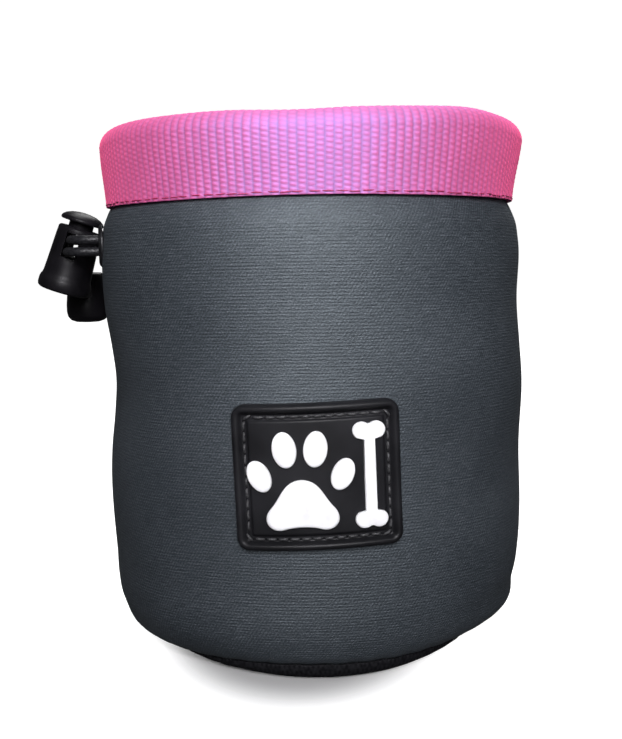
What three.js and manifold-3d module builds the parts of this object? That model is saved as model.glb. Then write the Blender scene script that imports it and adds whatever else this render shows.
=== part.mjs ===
// Treat pouch: a round neoprene pouch with a webbing rim, an inner drawstring collar, a spring cord
// lock on its side, a moulded front patch and a belt clip on its back.
// Millimetres, +Z up. The origin is the centre of the underside. The patch faces -Y, the clip +Y,
// and the cord lock hangs on the -X side.
import * as THREE from "three";
import { mergeVertices } from "three/addons/utils/BufferGeometryUtils.js";
import Module from "manifold-3d";

const wasm = await Module();
wasm.setup();

// Driving dimensions
const HEIGHT = 107;
const BODY_R = 45;
const WALL_INNER_R = 41.4;
const GAP = 0.3; // between pieces that touch
const AROUND = 48; // facets round the pouch

const SEAM_Z = 4.6; // where the wall is sewn to the base panel
const BASE_FLAT_R = 36.4;
const BASE_THICK = 2.5;
const LINING_THICK = 1;
const LINING_TOP = 102.5;

const BAND_THICK = 1.2;
const BAND_OUTER_R = 45.7;
const BAND_INNER_R = 38.6;
const BAND_LOW_Z = 91.4;
const BAND_INSIDE_LOW_Z = 98;

const COLLAR_R = 37.9; // middle of the cloth
const COLLAR_THICK = 0.8;
const COLLAR_TOP = 101;
const HEM_RADIUS = 2.2; // middle of the cloth at the hem's turn
const HEM_TURN_Z = 82.3;
const HEM_EDGE_Z = 88.5;

const CORD_R = 1;
const CORD_BEND = 4.5;
const EYELET_ANGLE = THREE.MathUtils.degToRad(192); // about +Z, from +X
const EYELET_BORE_R = 2.7;
const EYELET_BARREL_R = 3.1;
const EYELET_FLANGE_R = 4.6;

const LOCK_TILT = THREE.MathUtils.degToRad(18); // its top leans towards the pouch
const LOCK_HOLE = new THREE.Vector3(-52.3, -0.2, 83.3); // middle of its cross hole
const LOCK_BORE_R = 3;
const LOCK_HOLE_UP = 10.5; // the cross hole's height above the barrel's foot
const LOCK_TOP = 14.5;
const LOCK_FLOOR = 1.5;
const CORD_SPREAD = 1.3; // each cord's distance from the middle of the cross hole
const SLOT_HALF_WIDTH = 1.5;
const PLUNGER_TRAVEL = 1;
const PLUNGER_FOOT = 4.8;
const PLUNGER_TOP = 18.3;
const PLUNGER_HEAD_R = 4.7;

const CORD_END = new THREE.Vector3(-53, 12.4, 65.6); // middle of its underside
const CORD_END_TALL = 11.6;
const SOCKET_R = CORD_R + GAP;
const SOCKET_SPREAD = 1.6; // each socket's distance from the middle
const SOCKET_DEEP = 2.9;

const PATCH_WIDE = 29.4;
const PATCH_TALL = 27.6;
const PATCH_CENTRE = new THREE.Vector2(0.9, 41.3); // x, z
const PATCH_TURN = THREE.MathUtils.degToRad(-2.3);
const PATCH_FACE_R = 46.3;
const PATCH_RIM_R = 47;
const PATCH_RIM_WIDE = 1.5;
const EMBLEM_R = 47.2;

const CLIP_WIDE = 16;
const CLIP_THICK = 1.5;
const CLIP_INNER_Y = 46.9;
const CLIP_GAP = 7.2; // the space for a belt
const CLIP_TOP_Z = 80;
const CLIP_LOW_Z = 30;
const CLIP_PAD_R = 46.6;
const CLIP_PAD_WIDE = 28;
const CLIP_PAD_TALL = 62;
const RIVET_Z = [38, 68];
const RIVET_R = 1.6;
const RIVET_HEAD_R = 3.2;

const colours = {
  neoprene: new THREE.MeshStandardMaterial({ color: 0x565b63, roughness: 0.92 }),
  webbing: new THREE.MeshStandardMaterial({ color: 0xd9609c, roughness: 0.7 }),
  black_cloth: new THREE.MeshStandardMaterial({ color: 0x1b1c1f, roughness: 0.9 }),
  lining: new THREE.MeshStandardMaterial({ color: 0x2c2e33, roughness: 0.75 }),
  cord: new THREE.MeshStandardMaterial({ color: 0x17181a, roughness: 0.45 }),
  black_plastic: new THREE.MeshStandardMaterial({ color: 0x141416, roughness: 0.4 }),
  patch_rubber: new THREE.MeshStandardMaterial({ color: 0x202023, roughness: 0.55 }),
  emblem_white: new THREE.MeshStandardMaterial({ color: 0xe8e8e8, roughness: 0.6 }),
  steel: new THREE.MeshStandardMaterial({ color: 0x9a9ca0, roughness: 0.35, metalness: 1 }),
  black_metal: new THREE.MeshStandardMaterial({ color: 0x1d1d20, roughness: 0.4, metalness: 0.8 }),
};

const pouch = new THREE.Group();
const lock = new THREE.Group();
pouch.add(lock);

// Helpers

function addMesh(parent, name, geometry, material) {
  const mesh = new THREE.Mesh(geometry, material);
  mesh.name = name;
  parent.add(mesh);
  return mesh;
}

function toSolid(geometry) {
  const bare = new THREE.BufferGeometry();
  bare.setAttribute("position", geometry.getAttribute("position").clone());
  if (geometry.index) bare.setIndex(geometry.index);
  const merged = mergeVertices(bare, 1e-4);
  return new wasm.Manifold(
    new wasm.Mesh({
      numProp: 3,
      vertProperties: merged.attributes.position.array,
      triVerts: new Uint32Array(merged.index.array),
    }),
  );
}

function toGeometry(solid) {
  const mesh = solid.getMesh();
  const geometry = new THREE.BufferGeometry();
  geometry.setAttribute("position", new THREE.BufferAttribute(mesh.vertProperties, 3));
  geometry.setIndex(new THREE.BufferAttribute(mesh.triVerts, 1));
  geometry.computeVertexNormals();
  return geometry;
}

// A body of revolution about +Z. Points are [radius, height] and run up the outside.
function turned(profile, segments = AROUND) {
  const points = profile.map(([r, z]) => new THREE.Vector2(r, z));
  return new THREE.LatheGeometry(points, segments).rotateX(Math.PI / 2);
}

// A ring: the profile closes on itself.
function ring(profile, segments = AROUND) {
  return turned([...profile, profile[0]], segments);
}

function wallRing(innerR, outerR, lowZ, highZ, segments = AROUND) {
  return ring([[outerR, lowZ], [outerR, highZ], [innerR, highZ], [innerR, lowZ]], segments);
}

function circleShape(radius, sides) {
  const points = [];
  for (let i = 0; i < sides; i++) {
    const turn = (i / sides) * 2 * Math.PI;
    points.push(new THREE.Vector2(radius * Math.cos(turn), radius * Math.sin(turn)));
  }
  return new THREE.Shape(points);
}

function tube(points, radius, steps, sides = 8) {
  return new THREE.ExtrudeGeometry(circleShape(radius, sides), {
    steps,
    bevelEnabled: false,
    extrudePath: new THREE.CatmullRomCurve3(points, false, "centripetal"),
  });
}

function roundedRectangle(wide, tall, radius) {
  const x = wide / 2 - radius;
  const y = tall / 2 - radius;
  const shape = new THREE.Shape();
  shape.absarc(x, y, radius, 0, Math.PI / 2);
  shape.absarc(-x, y, radius, Math.PI / 2, Math.PI);
  shape.absarc(-x, -y, radius, Math.PI, 1.5 * Math.PI);
  shape.absarc(x, -y, radius, 1.5 * Math.PI, 2 * Math.PI);
  return shape;
}

// A prism of the shape's x and y along the world's X and Z, from nearY to farY.
function prismAlongY(shape, nearY, farY, curveSegments = 4) {
  const geometry = new THREE.ExtrudeGeometry(shape, {
    depth: farY - nearY,
    bevelEnabled: false,
    curveSegments,
  });
  return geometry.rotateX(Math.PI / 2).translate(0, farY, 0);
}

// A drill along the outward direction at an angle about +Z, between two radii.
function radialDrill(angle, radius, z, fromR, toR, sides = 20) {
  const geometry = new THREE.CylinderGeometry(radius, radius, toR - fromR, sides);
  geometry.rotateZ(-Math.PI / 2);
  geometry.translate((fromR + toR) / 2, 0, 0);
  return geometry.rotateZ(angle).translate(0, 0, z);
}

function cut(geometry, ...tools) {
  return toGeometry(tools.reduce((left, tool) => left.subtract(toSolid(tool)), toSolid(geometry)));
}

function outward(angle, radius, z, sideways = 0) {
  return new THREE.Vector3(
    radius * Math.cos(angle) - sideways * Math.sin(angle),
    radius * Math.sin(angle) + sideways * Math.cos(angle),
    z,
  );
}

// Pouch shell

const eyeletZ = LOCK_HOLE.z;
const backAngle = Math.PI / 2;
const throughWall = (radius) => [
  radialDrill(EYELET_ANGLE, EYELET_BARREL_R + GAP, eyeletZ, 30, 50),
  ...RIVET_Z.map((z) => radialDrill(backAngle, radius, z, 30, 50, 12)),
];

function bodyShell() {
  const profile = [
    [42.4, SEAM_Z],
    [43.4, 7],
    [44.2, 11],
    [BODY_R, 17],
    [BODY_R, 84],
    [BODY_R - 0.3, 88.5],
    [BODY_R - 0.8, BAND_LOW_Z],
    [BODY_R - 0.8, LINING_TOP],
    [WALL_INNER_R, LINING_TOP],
    [WALL_INNER_R, SEAM_Z],
  ];
  const geometry = cut(ring(profile), ...throughWall(RIVET_R + GAP));
  addMesh(pouch, "body_shell", geometry, colours.neoprene);
}

function liningWall() {
  const outerR = WALL_INNER_R - GAP;
  const wall = wallRing(outerR - LINING_THICK, outerR, SEAM_Z, LINING_TOP);
  addMesh(pouch, "lining_wall", cut(wall, ...throughWall(RIVET_R + GAP)), colours.lining);
}

function basePanel() {
  const profile = [
    [0, 0],
    [BASE_FLAT_R, 0],
    [38.8, 0.8],
    [40.8, 2.2],
    [42.3, SEAM_Z - 0.4],
    [39.8, SEAM_Z - 0.4],
    [39, 3],
    [37.5, BASE_THICK],
    [0, BASE_THICK],
  ];
  addMesh(pouch, "base_panel", turned(profile), colours.black_cloth);
}

function liningFloor() {
  const lowZ = BASE_THICK + GAP;
  const profile = [[0, lowZ], [37, lowZ], [37, lowZ + 0.8], [0, lowZ + 0.8]];
  addMesh(pouch, "lining_floor", turned(profile), colours.lining);
}

function seamTape() {
  const outerR = WALL_INNER_R - LINING_THICK - 2 * GAP;
  addMesh(pouch, "seam_tape", wallRing(outerR - 1.2, outerR, SEAM_Z, 10), colours.black_cloth);
}

// The webbing is folded over the pouch's top edge: a long leg outside, a short one inside.
function rimBand() {
  const middleR = (BAND_OUTER_R + BAND_INNER_R) / 2;
  const outerTurn = (BAND_OUTER_R - BAND_INNER_R) / 2;
  const innerTurn = outerTurn - BAND_THICK;
  const turnZ = HEIGHT - outerTurn;
  const profile = [[BAND_OUTER_R, BAND_LOW_Z]];
  for (let i = 0; i <= 6; i++) {
    const turn = (i / 6) * Math.PI;
    profile.push([middleR + outerTurn * Math.cos(turn), turnZ + outerTurn * Math.sin(turn)]);
  }
  profile.push([BAND_INNER_R, BAND_INSIDE_LOW_Z]);
  profile.push([BAND_INNER_R + BAND_THICK, BAND_INSIDE_LOW_Z]);
  for (let i = 4; i >= 0; i--) {
    const turn = (i / 4) * Math.PI;
    profile.push([middleR + innerTurn * Math.cos(turn), turnZ + innerTurn * Math.sin(turn)]);
  }
  profile.push([BAND_OUTER_R - BAND_THICK, BAND_LOW_Z]);
  addMesh(pouch, "rim_band", ring(profile), colours.webbing);
}

// Drawstring collar: a cloth sleeve turned down inside the mouth, with the cord in its hem.
function collar() {
  const half = COLLAR_THICK / 2;
  const turnR = COLLAR_R - HEM_RADIUS;
  const hemLeg = turnR - HEM_RADIUS;
  const profile = [];
  for (let i = 0; i <= 4; i++) {
    const turn = Math.PI * (1 + i / 4);
    const r = HEM_RADIUS + half;
    profile.push([turnR + r * Math.cos(turn), HEM_TURN_Z + r * Math.sin(turn)]);
  }
  profile.push([COLLAR_R + half, COLLAR_TOP]);
  profile.push([COLLAR_R - half, COLLAR_TOP]);
  for (let i = 4; i >= 0; i--) {
    const turn = Math.PI * (1 + i / 4);
    const r = HEM_RADIUS - half;
    profile.push([turnR + r * Math.cos(turn), HEM_TURN_Z + r * Math.sin(turn)]);
  }
  profile.push([hemLeg + half, HEM_EDGE_Z]);
  profile.push([hemLeg - half, HEM_EDGE_Z]);
  const window = new THREE.BoxGeometry(4, 6.4, 5.6);
  window.translate(COLLAR_R + 0.6, 0, 0).rotateZ(EYELET_ANGLE).translate(0, 0, eyeletZ);
  addMesh(pouch, "collar", cut(ring(profile), window), colours.lining);
}

// Drawstring: one cord, in three stretches. The ring lies in the hem and both its ends pass
// through the eyelet; the two tails carry the lock and meet in the cord end.
const cordHeights = [1, -1].map((side) => eyeletZ + side * CORD_SPREAD * Math.cos(LOCK_TILT));
const cordX = [1, -1].map((side) => LOCK_HOLE.x + side * CORD_SPREAD * Math.sin(LOCK_TILT));
const TAIL_START_R = 42.8;

function drawstringRing() {
  const [highZ, lowZ] = cordHeights;
  const ringR = COLLAR_R - HEM_RADIUS;
  const startR = TAIL_START_R - GAP;
  const turnIn = 4;
  const arriving = [
    outward(EYELET_ANGLE, startR, highZ),
    outward(EYELET_ANGLE, ringR + turnIn, highZ),
    outward(EYELET_ANGLE, ringR + turnIn * 0.29, highZ, turnIn * 0.29),
  ];
  const leaving = [
    outward(EYELET_ANGLE, ringR + turnIn * 0.29, lowZ, -turnIn * 0.29),
    outward(EYELET_ANGLE, ringR + turnIn, lowZ),
    outward(EYELET_ANGLE, startR, lowZ),
  ];
  const round = [];
  const clear = turnIn / ringR;
  const stops = 24;
  for (let i = 0; i <= stops; i++) {
    const turn = EYELET_ANGLE + clear + (i / stops) * (2 * Math.PI - 2 * clear);
    round.push(outward(turn, ringR, THREE.MathUtils.lerp(highZ, lowZ, i / stops)));
  }
  const path = [...arriving, ...round, ...leaving];
  addMesh(pouch, "drawstring_ring", tube(path, CORD_R, 66), colours.cord);
}

// Out of the eyelet, round to the lock's mouth, straight through it along +Y, and down into
// the cord end behind it.
function cordTail(name, x, z, endY) {
  const straightEnd = endY - CORD_BEND;
  const bendX = x + CORD_BEND;
  const start = outward(EYELET_ANGLE, 1, 0);
  const bendStartR = (bendX - CORD_BEND * start.y) / start.x;
  const bendY = bendStartR * start.y - CORD_BEND * start.x;
  const points = [
    outward(EYELET_ANGLE, TAIL_START_R, z),
    outward(EYELET_ANGLE, (TAIL_START_R + bendStartR) / 2, z),
  ];
  for (const degrees of [282, 257, 231, 206, 180]) {
    const turn = THREE.MathUtils.degToRad(degrees);
    points.push(
      new THREE.Vector3(bendX + CORD_BEND * Math.cos(turn), bendY + CORD_BEND * Math.sin(turn), z),
    );
  }
  points.push(new THREE.Vector3(x, (bendY + straightEnd) / 2, z));
  points.push(new THREE.Vector3(x, straightEnd, z));
  const drop = [[30, 0.3], [60, 0.75], [90, 1]];
  for (const [degrees, across] of drop) {
    const turn = THREE.MathUtils.degToRad(degrees);
    points.push(
      new THREE.Vector3(
        THREE.MathUtils.lerp(x, CORD_END.x, across),
        THREE.MathUtils.lerp(straightEnd, endY, Math.sin(turn)),
        z - CORD_BEND * (1 - Math.cos(turn)),
      ),
    );
  }
  const socketFloor = CORD_END.z + CORD_END_TALL - SOCKET_DEEP;
  points.push(new THREE.Vector3(CORD_END.x, endY, socketFloor + GAP + 0.1));
  addMesh(pouch, name, tube(points, CORD_R, 17), colours.cord);
}

function eyelet() {
  const inner = EYELET_BORE_R;
  const profile = [
    [EYELET_BARREL_R, 38.7],
    [EYELET_BARREL_R, BODY_R + GAP],
    [EYELET_FLANGE_R, BODY_R + GAP],
    [EYELET_FLANGE_R - 0.3, BODY_R + GAP + 0.6],
    [inner + 0.5, BODY_R + GAP + 0.9],
    [inner, BODY_R + GAP + 0.5],
    [inner, 38.7],
  ];
  const lay = (geometry) =>
    geometry.rotateY(Math.PI / 2).rotateZ(EYELET_ANGLE).translate(0, 0, eyeletZ);
  addMesh(pouch, "eyelet", lay(ring(profile, 20)), colours.black_metal);
  const washer = wallRing(EYELET_BARREL_R + GAP, EYELET_FLANGE_R, 38.75, 39.5, 20);
  addMesh(pouch, "eyelet_washer", lay(washer), colours.black_metal);
}

function cordEnd() {
  const tall = CORD_END_TALL;
  const profile = [
    [0, 0],
    [2.6, 0],
    [4.1, 0.6],
    [4.8, 2],
    [4.85, 4],
    [4.3, 8],
    [3.9, tall - 0.8],
    [3.4, tall],
    [0, tall],
  ];
  const sockets = [SOCKET_SPREAD, -SOCKET_SPREAD].map((y) => {
    const drill = new THREE.CylinderGeometry(SOCKET_R, SOCKET_R, 2 * SOCKET_DEEP, 12);
    return drill.rotateX(Math.PI / 2).translate(0, y, tall);
  });
  const bell = cut(turned(profile, 24), ...sockets);
  addMesh(pouch, "cord_end", bell, colours.black_plastic).position.copy(CORD_END);
}

// Cord lock, made upright with its foot at the origin, then leant and hung on the cords.

function crossSlot(lowZ, highZ) {
  return new THREE.BoxGeometry(2 * SLOT_HALF_WIDTH, 20, highZ - lowZ).translate(
    0,
    0,
    (lowZ + highZ) / 2,
  );
}

const cordsLow = LOCK_HOLE_UP - CORD_SPREAD - CORD_R - GAP - 0.1;
const cordsHigh = LOCK_HOLE_UP + CORD_SPREAD + CORD_R + GAP + 0.1;

function lockBarrel() {
  const profile = [
    [0, 0],
    [5.3, 0],
    [5.8, 0.5],
    [5.8, 2.6],
    [5.45, 3.3],
    [5, 8],
    [4.7, LOCK_TOP - 0.4],
    [4.4, LOCK_TOP],
    [LOCK_BORE_R, LOCK_TOP],
    [LOCK_BORE_R, LOCK_FLOOR],
    [0, LOCK_FLOOR],
  ];
  const barrel = cut(turned(profile, 24), crossSlot(cordsLow, cordsHigh));
  addMesh(lock, "cord_lock_barrel", barrel, colours.black_plastic);
}

function lockPlunger() {
  const stemR = LOCK_BORE_R - GAP;
  const headZ = LOCK_TOP + PLUNGER_TRAVEL + GAP;
  const profile = [
    [0, PLUNGER_FOOT],
    [stemR, PLUNGER_FOOT],
    [stemR, headZ],
    [PLUNGER_HEAD_R - 0.2, headZ],
    [PLUNGER_HEAD_R, headZ + 0.4],
    [PLUNGER_HEAD_R - 0.5, headZ + 1.3],
    [PLUNGER_HEAD_R - 1.7, PLUNGER_TOP - 0.3],
    [0, PLUNGER_TOP],
  ];
  const slot = crossSlot(cordsLow, cordsHigh + PLUNGER_TRAVEL);
  addMesh(lock, "cord_lock_plunger", cut(turned(profile, 24), slot), colours.black_plastic);
}

function lockSpring() {
  const wireR = 0.3;
  const coilR = 2.2;
  const turns = 2;
  const lowZ = LOCK_FLOOR + GAP + wireR;
  const highZ = PLUNGER_FOOT - GAP - wireR;
  const points = [];
  for (let i = 0; i <= turns * 8; i++) {
    const turn = (i / 8) * 2 * Math.PI;
    const z = THREE.MathUtils.lerp(lowZ, highZ, i / (turns * 8));
    points.push(new THREE.Vector3(coilR * Math.cos(turn), coilR * Math.sin(turn), z));
  }
  addMesh(lock, "cord_lock_spring", tube(points, wireR, 32, 5), colours.steel);
}

function placeLock() {
  lock.rotation.y = LOCK_TILT;
  const lean = new THREE.Vector3(Math.sin(LOCK_TILT), 0, Math.cos(LOCK_TILT));
  lock.position.copy(LOCK_HOLE).addScaledVector(lean, -LOCK_HOLE_UP);
}

// Front patch: moulded rubber bent round the wall, with a raised rim and a raised emblem.

function onPatch(shape, innerR, outerR, curveSegments = 4) {
  const shell = toSolid(wallRing(innerR, outerR, 20, 64, 120));
  const prism = prismAlongY(shape, -60, -30, curveSegments);
  prism.rotateY(PATCH_TURN).translate(PATCH_CENTRE.x, 0, PATCH_CENTRE.y);
  return shell.intersect(toSolid(prism));
}

function patchBase() {
  const outline = roundedRectangle(PATCH_WIDE, PATCH_TALL, 2.2);
  const field = roundedRectangle(PATCH_WIDE - 2 * PATCH_RIM_WIDE, PATCH_TALL - 2 * PATCH_RIM_WIDE, 1);
  const rim = onPatch(outline, BODY_R + GAP, PATCH_RIM_R);
  const sunk = onPatch(field, PATCH_FACE_R, PATCH_RIM_R + 1);
  addMesh(pouch, "patch_base", toGeometry(rim.subtract(sunk)), colours.patch_rubber);
}

function ellipse(x, z, wide, tall, lean) {
  return new THREE.Shape().absellipse(x, z, wide / 2, tall / 2, 0, 2 * Math.PI, false, lean);
}

// The paw's big pad: narrow at the top, with two lobes below.
function pawPad(x, z) {
  const shape = new THREE.Shape();
  shape.moveTo(x, z + 4.3);
  shape.bezierCurveTo(x + 3.2, z + 4.3, x + 3.8, z + 1, x + 5.5, z - 0.8);
  shape.bezierCurveTo(x + 7.5, z - 3, x + 5.8, z - 5.5, x + 3.3, z - 4.8);
  shape.bezierCurveTo(x + 1.5, z - 4.2, x - 1.5, z - 4.2, x - 3.3, z - 4.8);
  shape.bezierCurveTo(x - 5.8, z - 5.5, x - 7.5, z - 3, x - 5.5, z - 0.8);
  shape.bezierCurveTo(x - 3.8, z + 1, x - 3.2, z + 4.3, x, z + 4.3);
  return shape;
}

// An upright bone: two round knobs at each end of a straight shaft.
function boneShape(x, halfTall, knob) {
  const shape = new THREE.Shape();
  const shaft = 1;
  const out = knob * 0.8;
  shape.moveTo(x + shaft, -halfTall + knob);
  shape.lineTo(x + shaft, halfTall - knob);
  shape.absarc(x + out, halfTall, knob, -0.3 * Math.PI, 0.75 * Math.PI);
  shape.absarc(x - out, halfTall, knob, 0.25 * Math.PI, 1.3 * Math.PI);
  shape.lineTo(x - shaft, -halfTall + knob);
  shape.absarc(x - out, -halfTall, knob, 0.7 * Math.PI, 1.75 * Math.PI);
  shape.absarc(x + out, -halfTall, knob, 1.25 * Math.PI, 2.3 * Math.PI);
  return shape;
}

const PAW_X = -2.9;
const TOES = [
  [-7.3, 0.5, 3.9, 6, 0.4],
  [-2.7, 5.3, 4.2, 6.6, 0.12],
  [2.7, 5.3, 4.2, 6.6, -0.12],
  [7.3, 0.5, 3.9, 6, -0.4],
]; // x and z from the paw's middle, width, height, lean

function emblem() {
  const raise = (name, shape, segments) => {
    const solid = onPatch(shape, PATCH_FACE_R + GAP, EMBLEM_R, segments);
    addMesh(pouch, name, toGeometry(solid), colours.emblem_white);
  };
  raise("emblem_pad", pawPad(PAW_X, -4.6), 4);
  TOES.forEach(([x, z, wide, tall, lean], i) => {
    raise("emblem_toe_" + (i + 1), ellipse(PAW_X + x, z, wide, tall, lean), 12);
  });
  raise("emblem_bone", boneShape(9.2, 8.2, 1.6), 5);
}

// Belt clip: a bent strip riveted through a sewn pad on the back.

function clipPad() {
  const middleZ = (RIVET_Z[0] + RIVET_Z[1]) / 2;
  const shell = toSolid(wallRing(BODY_R + GAP, CLIP_PAD_R, 15, 86, 120));
  const prism = prismAlongY(roundedRectangle(CLIP_PAD_WIDE, CLIP_PAD_TALL, 4), 30, 60);
  const pad = shell.intersect(toSolid(prism.translate(0, 0, middleZ)));
  const holes = RIVET_Z.map((z) => radialDrill(backAngle, RIVET_R + GAP, z, 30, 50, 12));
  addMesh(pouch, "clip_pad", cut(toGeometry(pad), ...holes), colours.black_cloth);
}

// The strip's side outline, in y and z: flat back leg, round top, front leg with a turned-out lip.
function beltClip() {
  const backY = CLIP_INNER_Y;
  const frontY = backY + CLIP_THICK + CLIP_GAP;
  const turnY = (backY + frontY + CLIP_THICK) / 2;
  const outer = (frontY + CLIP_THICK - backY) / 2;
  const inner = outer - CLIP_THICK;
  const shape = new THREE.Shape();
  shape.moveTo(backY, CLIP_LOW_Z);
  shape.lineTo(backY + CLIP_THICK, CLIP_LOW_Z);
  shape.lineTo(backY + CLIP_THICK, CLIP_TOP_Z);
  shape.absarc(turnY, CLIP_TOP_Z, inner, Math.PI, 0, true);
  shape.lineTo(frontY, CLIP_LOW_Z + 8);
  shape.lineTo(frontY + 1.6, CLIP_LOW_Z + 2);
  shape.lineTo(frontY + 2.8, CLIP_LOW_Z + 2.4);
  shape.lineTo(frontY + CLIP_THICK, CLIP_LOW_Z + 8.4);
  shape.absarc(turnY, CLIP_TOP_Z, outer, 0, Math.PI, false);
  const strip = new THREE.ExtrudeGeometry(shape, {
    depth: CLIP_WIDE,
    bevelEnabled: false,
    curveSegments: 8,
  });
  strip.rotateX(Math.PI / 2).rotateZ(Math.PI / 2).translate(-CLIP_WIDE / 2, 0, 0);
  const holes = RIVET_Z.map((z) =>
    radialDrill(backAngle, RIVET_R + GAP, z, backY - 2, backY + CLIP_THICK + 1, 12),
  );
  addMesh(pouch, "belt_clip", cut(strip, ...holes), colours.black_metal);
}

function clipRivets() {
  const faceY = CLIP_INNER_Y + CLIP_THICK + GAP;
  const rivet = [
    [0, 37.8],
    [2.2, 37.8],
    [2.4, 38.4],
    [RIVET_R, 38.5],
    [RIVET_R, faceY],
    [RIVET_HEAD_R, faceY],
    [RIVET_HEAD_R - 0.6, faceY + 0.7],
    [0, faceY + 0.9],
  ];
  const washer = wallRing(RIVET_R + GAP, 4.2, 38.75, 39.5, 16);
  ["lower", "upper"].forEach((place, i) => {
    const lay = (geometry) => geometry.rotateX(-Math.PI / 2).translate(0, 0, RIVET_Z[i]);
    addMesh(pouch, "clip_rivet_" + place, lay(turned(rivet, 16)), colours.steel);
    addMesh(pouch, "rivet_washer_" + place, lay(washer.clone()), colours.steel);
  });
}

bodyShell();
basePanel();
seamTape();
liningWall();
liningFloor();
rimBand();
collar();
drawstringRing();
cordTail("cord_tail_upper", cordX[0], cordHeights[0], CORD_END.y + SOCKET_SPREAD);
cordTail("cord_tail_lower", cordX[1], cordHeights[1], CORD_END.y - SOCKET_SPREAD);
eyelet();
cordEnd();
lockBarrel();
lockPlunger();
lockSpring();
placeLock();
patchBase();
emblem();
clipPad();
beltClip();
clipRivets();

export default pouch;
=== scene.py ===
"""A treat pouch: soft goods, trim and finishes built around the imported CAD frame.

Lengths are written in millimetres and turned into metres when a mesh is made. The pouch's axis is +Z,
its front faces -Y, the cord lock hangs on the -X side and the belt clip is on +Y.
"""
import math

import bpy
import numpy as np
from mathutils import Matrix, Vector


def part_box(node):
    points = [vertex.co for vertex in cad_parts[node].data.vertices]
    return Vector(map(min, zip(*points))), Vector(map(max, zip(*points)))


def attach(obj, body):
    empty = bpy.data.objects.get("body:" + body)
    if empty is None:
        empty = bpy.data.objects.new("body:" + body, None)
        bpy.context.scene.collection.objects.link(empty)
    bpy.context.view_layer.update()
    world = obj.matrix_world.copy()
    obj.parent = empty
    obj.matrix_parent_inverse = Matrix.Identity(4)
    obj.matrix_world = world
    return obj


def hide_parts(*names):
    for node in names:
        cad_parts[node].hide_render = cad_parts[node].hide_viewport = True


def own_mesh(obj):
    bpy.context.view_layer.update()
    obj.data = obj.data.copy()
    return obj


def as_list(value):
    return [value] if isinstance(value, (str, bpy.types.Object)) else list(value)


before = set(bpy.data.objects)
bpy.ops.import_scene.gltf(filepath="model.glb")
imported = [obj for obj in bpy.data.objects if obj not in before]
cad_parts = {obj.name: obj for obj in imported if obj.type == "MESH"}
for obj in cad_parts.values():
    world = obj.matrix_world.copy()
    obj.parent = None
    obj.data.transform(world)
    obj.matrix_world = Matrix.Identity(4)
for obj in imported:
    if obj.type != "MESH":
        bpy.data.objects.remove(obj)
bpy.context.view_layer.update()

MM = 0.001
TAU = 2 * math.pi
FRONT = -math.pi / 2
BACK = math.pi / 2
rng = np.random.default_rng(7)


def box_mm(node):
    low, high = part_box(node)
    return np.array(low) / MM, np.array(high) / MM


RIM_LOW, RIM_HIGH = box_mm("rim_band")
CLIP_LOW, CLIP_HIGH = box_mm("belt_clip")
PAD_LOW, PAD_HIGH = box_mm("clip_pad")
END_LOW, END_HIGH = box_mm("cord_end")
WALL_R = box_mm("body_shell")[1][0]
BAND_Z = RIM_LOW[2]
TOP_Z = RIM_HIGH[2]

# ---- camera


def show(thing):
    bpy.context.scene.collection.objects.link(thing)
    return thing


def add_camera():
    data = bpy.data.cameras.new("photo_view")
    data.sensor_width = 36
    data.lens = 47.7
    data.clip_start = 0.01
    camera = show(bpy.data.objects.new("photo_view", data))
    camera.location = (-0.0002, -0.2187, 0.082)
    camera.rotation_euler = (math.radians(83), math.radians(0.7), 0)
    bpy.context.scene.camera = camera


# ---- mesh helpers


def curve_through(x, knots):
    """A smooth curve's height at x, through the (x, height) knots."""
    xs, ys = np.array(knots, float).T
    slope = np.gradient(ys, xs)
    x = np.clip(x, xs[0], xs[-1])
    i = np.clip(np.searchsorted(xs, x) - 1, 0, len(xs) - 2)
    step = xs[i + 1] - xs[i]
    t = (x - xs[i]) / step
    start = (2 * t**3 - 3 * t**2 + 1) * ys[i] + (t**3 - 2 * t**2 + t) * step * slope[i]
    end = (3 * t**2 - 2 * t**3) * ys[i + 1] + (t**3 - t**2) * step * slope[i + 1]
    return start + end


def link_mesh(name, points, faces, smooth=True, uvs=None):
    mesh = bpy.data.meshes.new(name)
    mesh.from_pydata((np.asarray(points) * MM).tolist(), [], faces)
    if uvs is not None:
        layer = mesh.uv_layers.new(name="cloth")
        layer.data.foreach_set("uv", np.asarray(uvs, np.float32).ravel())
    mesh.validate()
    mesh.polygons.foreach_set("use_smooth", [smooth] * len(mesh.polygons))
    return show(bpy.data.objects.new(name, mesh))


def grid(name, points, around=True, loop=False, uv=None, foot=False, lid=False):
    """A sheet of quads through points[row, column]. around joins the last column to the first, and loop
    the last row to the first. foot fills the first row and lid the last. uv is the cloth's own (across,
    along) millimetres at each row and column."""
    rows, cols = points.shape[:2]
    row = np.arange(rows if loop else rows - 1)
    col = np.arange(cols if around else cols - 1)
    i, j = np.meshgrid(row, col, indexing="ij")
    i, j = i.ravel(), j.ravel()
    i2, j2 = (i + 1) % rows, (j + 1) % cols
    faces = np.stack([i * cols + j, i * cols + j2, i2 * cols + j2, i2 * cols + j], 1).tolist()
    if foot:
        faces.append(list(range(cols))[::-1])
    if lid:
        faces.append(list(range((rows - 1) * cols, rows * cols)))
    uvs = None
    if uv is not None:
        across, along = uv
        corners = [(i, j), (i, j + 1), (i + 1, j + 1), (i + 1, j)]
        uvs = np.stack([np.stack([across[b], along[a]], 1) for a, b in corners], 1).reshape(-1, 2)
        uvs = np.vstack([uvs, np.zeros(((foot + lid) * cols, 2))])
    return link_mesh(name, points.reshape(-1, 3), faces, uvs=uvs)


def turns(count):
    """Evenly spaced angles, all the way round."""
    return np.arange(count) / count * TAU


def polar(angle, radius, z):
    return np.stack([radius * np.cos(angle), radius * np.sin(angle), z + 0 * angle], -1)


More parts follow.
